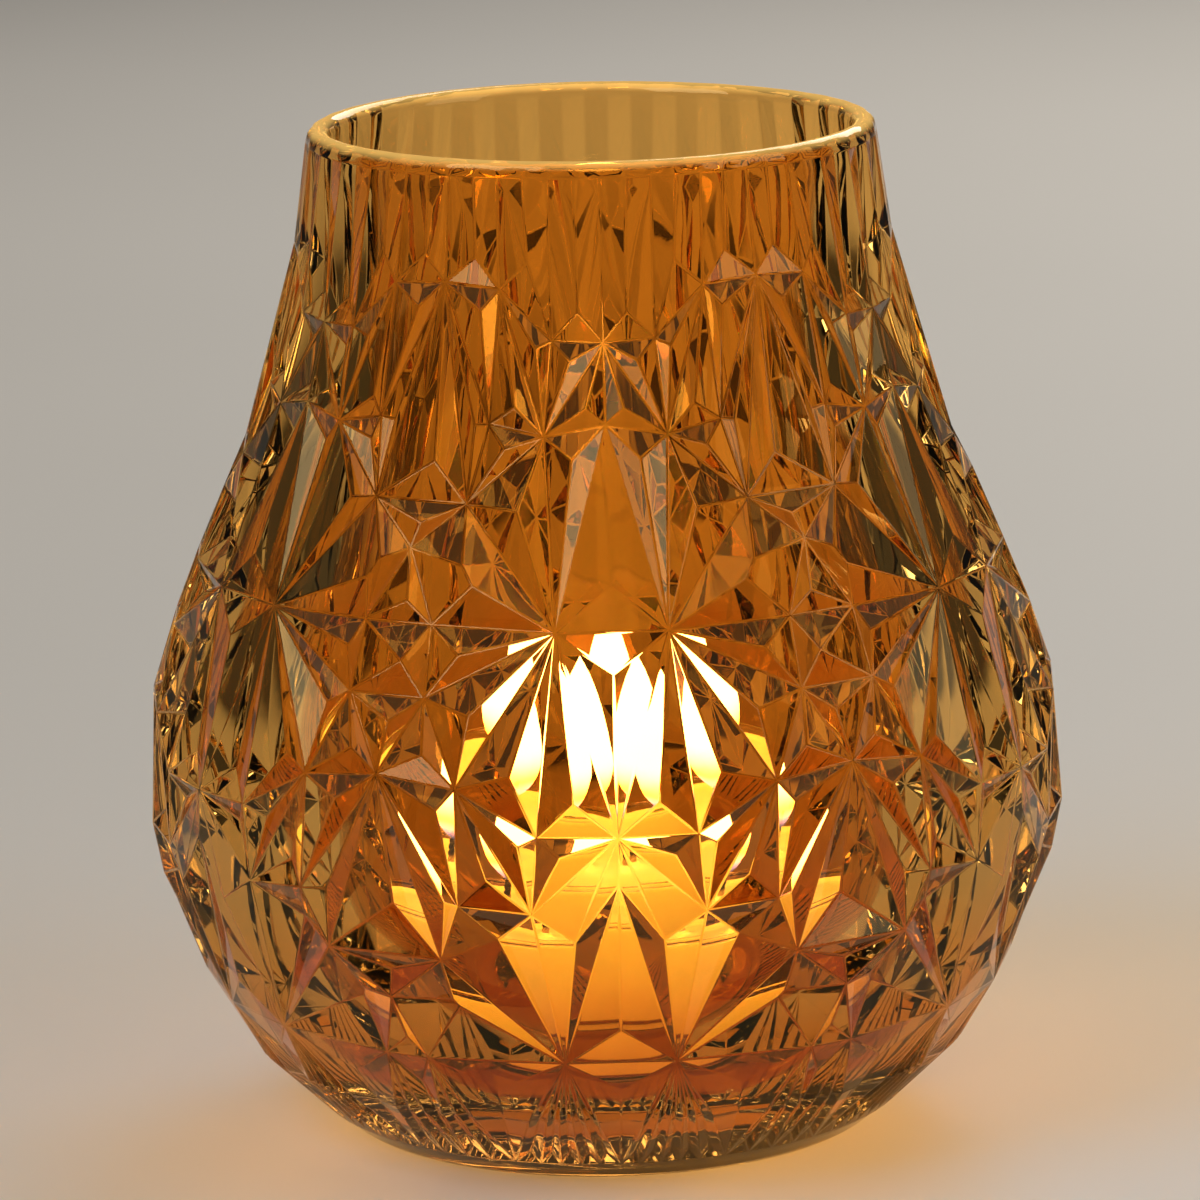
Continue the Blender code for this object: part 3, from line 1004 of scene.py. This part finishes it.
    def cut_wall(self, sketch: Sketch) -> tuple[Ring, Ring]:
        """Adds the whole cut outside.

        Args:
            sketch: the mesh that it is added to.

        Returns:
            Its lowest ring of vertices and its highest.
        """
        done: set = set()
        foot: dict[float, int] = {}
        lip: dict[float, int] = {}
        for repeat in range(self.repeats):
            for mirrored in (False, True):
                for text in self.fields:
                    spots = [self.spot(word, repeat, mirrored) for word in text.split()]
                    key = frozenset((round(angle, 3) % 360, height) for angle, height in spots)
                    if key not in done:
                        done.add(key)
                        if text == self.star_field:
                            peak_angle = self.turn(self.star_peak[0], repeat, mirrored)
                            self.cover_star(sketch, spots, peak_angle)
                        else:
                            corners = [self.node_point(spot) for spot in spots]
                            self.cover(sketch, corners, self.slope_of(text))
                for text in self.flutes:
                    spots = [self.spot(word, repeat, mirrored) for word in text.split()]
                    lip.update({round(angle, 3) % 360: at for angle, at in self.flute(sketch, spots)})
                for text, *ends in self.petals:
                    tips = [self.spot(word, repeat, mirrored) for word in text.split()]
                    ends = [self.turn(end, repeat, mirrored) for end in ends]
                    if mirrored:
                        tips, ends = tips[::-1], ends[::-1]
                    for end in ends:
                        foot[round(end, 3) % 360] = sketch.vertex(self.node_point((end, self.petal_foot)))
                    key = tuple(round(angle, 3) % 360 for angle in (tips[0][0], tips[1][0], *ends))
                    if key not in done:
                        done.add(key)
                        self.petal(sketch, tips, ends)
        return sorted(foot.items()), sorted(lip.items())

    def lip_place(self, height: float, radius: float) -> Callable[[float], Vector]:
        """Place of the fire-polished lip, which still follows the flutes faintly."""

        def place(angle: float) -> Vector:
            """Point of the lip at an angle."""
            flutes = 2 * self.repeats * len(self.flutes)
            dip = between(self.scallop, height) * (0.5 - 0.5 * math.cos(math.radians(flutes * angle)))
            sag = self.lip_sag * (1 + math.sin(math.radians(3 * angle + 40))) + self.dip_sag * dip
            outward = 1.0 if radius > self.lip_crest else self.inner_dip
            return polar(angle, radius - outward * dip, height - sag * (height > self.sag_above))

        return place

    def inner_place(self, height: float, radius: float) -> Callable[[float], Vector]:
        """Place of the inner wall, which the plunger left very slightly uneven."""

        def place(angle: float) -> Vector:
            """Point of the wall at an angle."""
            turn = math.radians(angle)
            uneven = sum(
                size * math.sin(waves * turn + phase + drift * height)
                for size, waves, phase, drift in self.uneven
            )
            from_floor = (height - self.even_floor[0]) / self.even_floor[1]
            from_lip = (self.even_lip[0] - height) / self.even_lip[1]
            fade = min(max(from_floor, 0.0), 1.0) * min(max(from_lip, 0.0), 1.0)
            return polar(angle, radius + uneven * fade, height)

        return place

    def build(self, effects: Effects) -> bpy.types.Object:
        """Builds the vase and dresses it.

        Args:
            effects: the shared node groups.

        Returns:
            The vase.
        """
        sketch = Sketch()
        foot, lip = self.cut_wall(sketch)
        sketch.stitch(turned(sketch, self.foot, self.sides), foot)
        ring = lip
        for height, radius in self.lip:
            upper = sketch.ring(self.sides, self.lip_place(height, radius))
            sketch.stitch(ring, upper)
            ring = upper
        top, bottom = self.inside[-1][0], self.inside[0][0]
        for step in range(self.inner_rings + 1):
            height = bottom + (top - bottom) * (1 - step / self.inner_rings) ** self.ring_crowding
            lower = sketch.ring(self.sides, self.inner_place(height, between(self.inside, height)))
            sketch.stitch(ring, lower)
            ring = lower
        ring = turned(sketch, self.floor, self.sides, ring)
        sketch.close(ring, self.floor[-1][0], up=True)
        vase = sketch.piece("vase_glass", AmberGlass().material(effects))
        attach(vase, Body.VASE.value)
        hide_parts("glass_vase")
        return vase


@dataclass
class TealightCup:
    """Thin clear cup with a rolled brim."""

    sides: int = 144
    profile: Curve = (
        (11.0, 12.0), (10.9, 14.4), (10.45, 15.2), (10.3, 15.7), (10.3, 18.0), (10.5, 18.5), (11.0, 18.9),
        (12.0, 19.0), (22.0, 19.2), (33.6, 19.4), (33.9, 19.55), (34.05, 19.75), (34.5, 19.75),
        (34.75, 19.6), (34.8, 19.3), (34.75, 19.05), (34.5, 18.95), (34.0, 18.85), (22.0, 18.6),
        (13.0, 18.3), (12.2, 18.0), (11.8, 17.4), (11.7, 16.0),
    )

    def build(self, effects: Effects) -> bpy.types.Object:
        """Builds the cup and dresses it.

        Args:
            effects: the shared node groups.

        Returns:
            The cup.
        """
        sketch = Sketch()
        last = turned(sketch, self.profile, self.sides)
        sketch.close(last, self.profile[-1][0], up=True)
        cup = sketch.piece("cup_plastic", ClearCup().material(effects))
        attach(cup, Body.TEALIGHT.value)
        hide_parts("tealight_cup")
        return cup


@dataclass
class WaxBody:
    """Wax with a raised rim, a melt pool and a small rise where it climbs the wick."""

    sides: int = 144
    ripple: float = 0.12  # of the edge that has melted, over the next two sizes
    melt_height: float = 32.0
    melt_radius: float = 12.0
    profile: Curve = (
        (12.7, 2.2), (12.7, 7.3), (12.0, 7.5), (12.0, 16.4), (12.2, 17.2), (12.9, 17.85), (22.0, 18.12),
        (32.6, 18.4), (33.1, 18.35), (33.35, 18.1), (33.4, 17.8), (33.2, 17.3), (32.85, 16.7),
        (32.6, 15.9), (32.5, 14.0), (32.45, 10.0), (32.4, 5.0), (32.45, 2.6), (32.7, 1.7), (33.2, 1.25),
        (33.4, 1.05), (31.0, 1.0), (17.7, 1.2), (17.7, 2.2),
    )

    def build(self, effects: Effects) -> bpy.types.Object:
        """Builds the wax and dresses it.

        Args:
            effects: the shared node groups.

        Returns:
            The wax.
        """
        sketch = Sketch()
        rings = []
        for height, radius in self.profile:
            melted = height > self.melt_height and radius > self.melt_radius
            ripple = self.ripple if melted else 0.0
            rings.append(sketch.ring(self.sides, self.place(height, radius, ripple)))
        for low, high in neighbours(rings):
            sketch.stitch(low, high)
        wax = sketch.piece("wax_body", GlowingWax().material(effects))
        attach(wax, Body.CANDLE.value)
        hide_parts("tealight_wax")
        return wax

    @staticmethod
    def place(height: float, radius: float, ripple: float) -> Callable[[float], Vector]:
        """Place of one ring of the wax, with an uneven edge where it has melted."""

        def at(angle: float) -> Vector:
            """Point of the ring at an angle."""
            turn = math.radians(angle)
            wave = math.sin(3 * turn + 0.7) + 0.6 * math.sin(7 * turn + 2.1) - 1.6
            return polar(angle, radius, height + ripple * wave)

        return at


@dataclass
class BraidedWick:
    """Three twisted cotton strands that lean over where they have burned."""

    strands: int = 3
    sides: int = 10
    steps: int = 96
    lay: float = 4.2  # height of one twist
    strand_radius: float = 0.46
    orbit: float = 0.42
    bottom: float = 12.3
    top: float = 41.4
    tip_share: float = 0.1  # of the height, where the strands are burned thin
    tip_shrink: float = 0.45
    back_lean: float = 0.3  # of the lean on X, also on Y
    lean: Curve = ((12.0, 0.0), (33.0, 0.0), (36.0, 0.25), (38.5, 0.9), (40.3, 1.7), (41.5, 2.4))

    def build(self, effects: Effects) -> bpy.types.Object:
        """Builds the wick and dresses it.

        Args:
            effects: the shared node groups.

        Returns:
            The wick.
        """
        sketch = Sketch()
        for strand in range(self.strands):
            start = 360.0 * strand / self.strands
            rings = []
            for step in range(self.steps + 1):
                share = step / self.steps
                height = self.bottom + (self.top - self.bottom) * share
                twist = start + 360.0 * height / self.lay
                burned = max(0.0, (share - (1.0 - self.tip_share)) / self.tip_share)
                shrink = 1.0 - self.tip_shrink * burned
                centre = self.core(height) + polar(twist, self.orbit * shrink, 0.0)
                rings.append(sketch.ring(self.sides, circle(self.strand_radius * shrink, centre)))
            sketch.tube(rings)
        wick = sketch.piece("wick_braid", CharredWick().material(effects))
        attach(wick, Body.CANDLE.value)
        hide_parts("wick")
        return wick

    def core(self, height: float) -> Vector:
        """Middle of the wick at a height."""
        lean = between(self.lean, height)
        return Vector((lean, self.back_lean * lean, height)) * MM


@dataclass
class Flame:
    """The flame of the tealight, a drop that draws out to a point."""

    sides: int = 48
    rings: int = 40
    bottom: float = 38.0
    top: float = 67.5
    outline: Curve = (
        (0.0, 0.6), (0.06, 2.8), (0.15, 4.8), (0.27, 6.0), (0.38, 6.3), (0.52, 5.8), (0.66, 4.7),
        (0.80, 3.3), (0.91, 1.8), (1.0, 0.05),
    )
    sway: Curve = ((0.0, 1.2), (0.3, 0.9), (0.6, 0.3), (1.0, 0.0))

    def build(self, effects: Effects) -> bpy.types.Object:
        """Builds the flame and dresses it.

        Args:
            effects: the shared node groups.

        Returns:
            The flame.
        """
        sketch = Sketch()
        rings = []
        for step in range(self.rings + 1):
            share = step / self.rings
            height = self.bottom + (self.top - self.bottom) * share
            shift = Vector((between(self.sway, share) * MM, 0.0, 0.0))
            centre = shift + polar(0.0, 0.0, height)
            rings.append(sketch.ring(self.sides, circle(between(self.outline, share), centre)))
        sketch.tube(rings)
        flame = sketch.piece("flame", FlameLight().material(effects))
        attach(flame, Body.CANDLE.value)
        return flame


@dataclass
class WickTab:
    """The stamped tab that holds the wick up: its shape is right, so it gets only its metal."""

    node: str = "wick_tab"

    def build(self, effects: Effects) -> bpy.types.Object:
        """Dresses the tab.

        Args:
            effects: the shared node groups.

        Returns:
            The tab.
        """
        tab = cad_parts[self.node]
        metal = TinnedSteel().material(effects)
        for held in tab.material_slots:
            held.material = metal
        return tab


@dataclass
class Studio:
    """Pale floor, soft lights and the camera."""

    floor_size: float = 8.0
    floor_drop: float = 0.0003
    camera_distance: float = 0.892
    camera_height: float = 0.273
    azimuth: float = -1.29
    pitch: float = 12.59
    roll: float = -1.27
    lens: float = 192.0
    sensor: float = 36.0
    shift: float = -0.0012
    near: float = 0.01
    far: float = 50.0
    aim: Place = (0.0, 0.0, 0.07)
    world: Colour = (0.05, 0.048, 0.045)
    lamps: Sequence[tuple[str, Place, Colour, float, float]] = (
        # name, place, colour, size, watts
        ("key", (-0.9, -0.7, 1.2), (1.0, 0.96, 0.90), 0.9, 11.0),
        ("fill", (1.1, -0.5, 0.7), (1.0, 0.95, 0.88), 0.7, 3.0),
        ("back", (0.5, 1.1, 0.9), (1.0, 0.94, 0.85), 0.8, 8.0),
    )

    def build(self, effects: Effects) -> bpy.types.Object:
        """Builds the studio.

        Args:
            effects: the shared node groups.

        Returns:
            The floor.
        """
        half = self.floor_size / 2
        sketch = Sketch()
        corners = []
        for x, y in ((-half, -half), (half, -half), (half, half), (-half, half)):
            corners.append(sketch.vertex(Vector((x, y, -self.floor_drop))))
        sketch.face(*corners)
        floor = sketch.piece("studio_floor", PaleFloor().material(effects))
        for name, place, colour, size, watts in self.lamps:
            self.lamp(name, Vector(place), colour, size, watts)
        self.sky()
        self.camera()
        return floor

    def lamp(self, name: str, place: Vector, colour: Colour, size: float, watts: float) -> None:
        """Adds one square soft box that faces the vase.

        Args:
            name: its name.
            place: where it stands.
            colour: its colour.
            size: length of its side, in metres.
            watts: its power.
        """
        data = bpy.data.lights.new(name, "AREA")
        data.size, data.energy, data.color = size, watts, colour
        lamp = bpy.data.objects.new(name, data)
        lamp.location = place
        lamp.rotation_euler = (Vector(self.aim) - place).to_track_quat("-Z", "Y").to_euler()
        bpy.context.scene.collection.objects.link(lamp)

    def sky(self) -> None:
        """Adds the even grey of the room."""
        world = bpy.data.worlds.new("room")
        world.use_nodes = True
        world.node_tree.nodes["Background"].inputs["Color"].default_value = (*self.world, 1.0)
        bpy.context.scene.world = world

    def camera(self) -> None:
        """Adds the camera at the height, tilt and roll that frame the vase."""
        data = bpy.data.cameras.new("camera")
        data.lens, data.sensor_width, data.shift_x = self.lens, self.sensor, self.shift
        data.clip_start, data.clip_end = self.near, self.far
        camera = bpy.data.objects.new("camera", data)
        camera.location = polar(self.azimuth, self.camera_distance / MM, self.camera_height / MM)
        camera.rotation_euler = (math.radians(90.0 - self.pitch), 0.0, math.radians(self.azimuth))
        camera.rotation_euler.rotate_axis("Z", math.radians(self.roll))
        bpy.context.scene.collection.objects.link(camera)
        bpy.context.scene.camera = camera
        bpy.context.scene.view_settings.view_transform = "Standard"


def main() -> None:
    """Builds the pieces in order and reports each one."""
    logging.basicConfig(level=logging.INFO, format="%(name)s: %(message)s")
    effects = Effects.build()
    for maker in (StarCutVase(), TealightCup(), WaxBody(), BraidedWick(), WickTab(), Flame(), Studio()):
        made = maker.build(effects)
        LOG.info("%s has %d faces", made.name, len(made.data.polygons))


if __name__ == "__main__":
    main()
